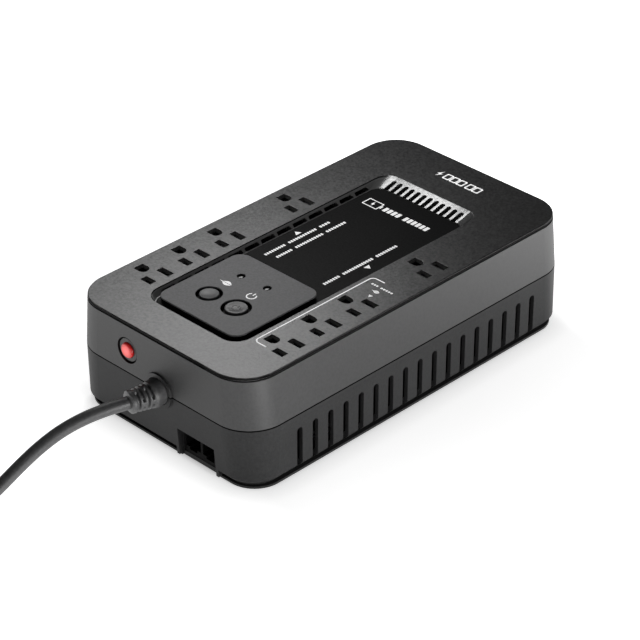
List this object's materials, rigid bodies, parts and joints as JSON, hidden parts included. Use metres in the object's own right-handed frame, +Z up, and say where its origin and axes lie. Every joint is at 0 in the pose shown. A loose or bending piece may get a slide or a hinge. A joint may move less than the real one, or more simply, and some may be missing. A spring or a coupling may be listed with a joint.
{
  "type": "uninterruptible power supply",
  "caption": "Flat desktop uninterruptible power supply with outlets along both sides of its deck, a raised control pad, a resettable breaker, a battery door below and a coiled mains cord.",
  "frame": {"origin": "bottom centre of the case, on the surface it stands on", "axes": "+Z up, +Y towards the end where the mains cord leaves, +X to the right of a reader who faces +Y"},
  "size_m": [0.1509, 0.5283, 0.0727],
  "materials": {
    "deck_plastic": "fine textured",
    "case_plastic": "fine textured",
    "black_plastic": "satin black",
    "cap_plastic": "satin",
    "board": "solder mask",
    "clear_plastic": "clear",
    "aluminium": "extruded",
    "ceramic": "dipped",
    "copper": "enamelled wire",
    "core_steel": "lacquered laminations",
    "plated_steel": "zinc plated",
    "battery_plastic": "moulded",
    "brass": "tinned",
    "red_plastic": "bright red",
    "rubber": "matte",
    "cord_rubber": "moulded PVC",
    "tie": "hook-and-loop",
    "wire": "insulated"
  },
  "bodies": {
    "case": {"battery": "battery_plastic", "battery_lead_black": "black_plastic", "battery_lead_red": "red_plastic", "battery_tabs": "brass", "board_screws": "plated_steel", "breaker_body": "black_plastic", "breaker_tabs": "brass", "buzzer": "black_plastic", "capacitors": "black_plastic", "case_screws": "plated_steel", "centre_tray": "black_plastic", "control_board": "board", "control_pad": "deck_plastic", "cord_coil": "cord_rubber", "cord_end": "cord_rubber", "cord_tie": "tie", "eco_light_pipe": "clear_plastic", "ground_strip_left": "brass", "ground_strip_right": "brass", "heat_sink": "aluminium", "jack_contacts": "brass", "jack_module": "black_plastic", "lamp_chips": "clear_plastic", "line_choke": "copper", "line_lead": "black_plastic", "line_strip_left": "brass", "line_strip_right": "brass", "lower_case": "case_plastic", "main_board": "board", "neutral_lead": "wire", "neutral_strip_left": "brass", "neutral_strip_right": "brass", "outlet_base_left": "black_plastic", "outlet_base_right": "black_plastic", "outlet_block_left": "black_plastic", "outlet_block_right": "black_plastic", "panel_screws": "plated_steel", "plug_blades": "brass", "plug_body": "cord_rubber", "plug_ground_pin": "brass", "power_cord": "cord_rubber", "power_light_pipe": "clear_plastic", "power_transistors": "black_plastic", "relays": "black_plastic", "ribbon_cable": "wire", "rubber_feet": "rubber", "strain_relief": "cord_rubber", "surge_discs": "ceramic", "switch_housings": "black_plastic", "top_panel": "deck_plastic", "transformer_bracket": "plated_steel", "transformer_core": "core_steel", "transformer_windings": "copper", "upper_shell": "case_plastic"},
    "power_key": {"power_button": "cap_plastic", "power_switch_plunger": "black_plastic"},
    "eco_key": {"eco_button": "cap_plastic", "eco_switch_plunger": "black_plastic"},
    "breaker_key": {"breaker_reset_button": "red_plastic"},
    "door": {"battery_door": "case_plastic"}
  },
  "joints": [
    {"name": "power_button_press", "type": "slide", "parent": "case", "child": "power_key", "axis": [0, 0, -1], "range_m": [0, 0.0008], "stiffness_N_per_m": 900, "springref_m": -0.0004},
    {"name": "eco_button_press", "type": "slide", "parent": "case", "child": "eco_key", "axis": [0, 0, -1], "range_m": [0, 0.0008], "stiffness_N_per_m": 900, "springref_m": -0.0004},
    {"name": "breaker_reset_pop", "type": "slide", "parent": "case", "child": "breaker_key", "axis": [0, 1, 0], "range_m": [0, 0.003]},
    {"name": "battery_door_slide", "type": "slide", "parent": "case", "child": "door", "axis": [0, -1, 0], "range_m": [0, 0.012]}
  ]
}
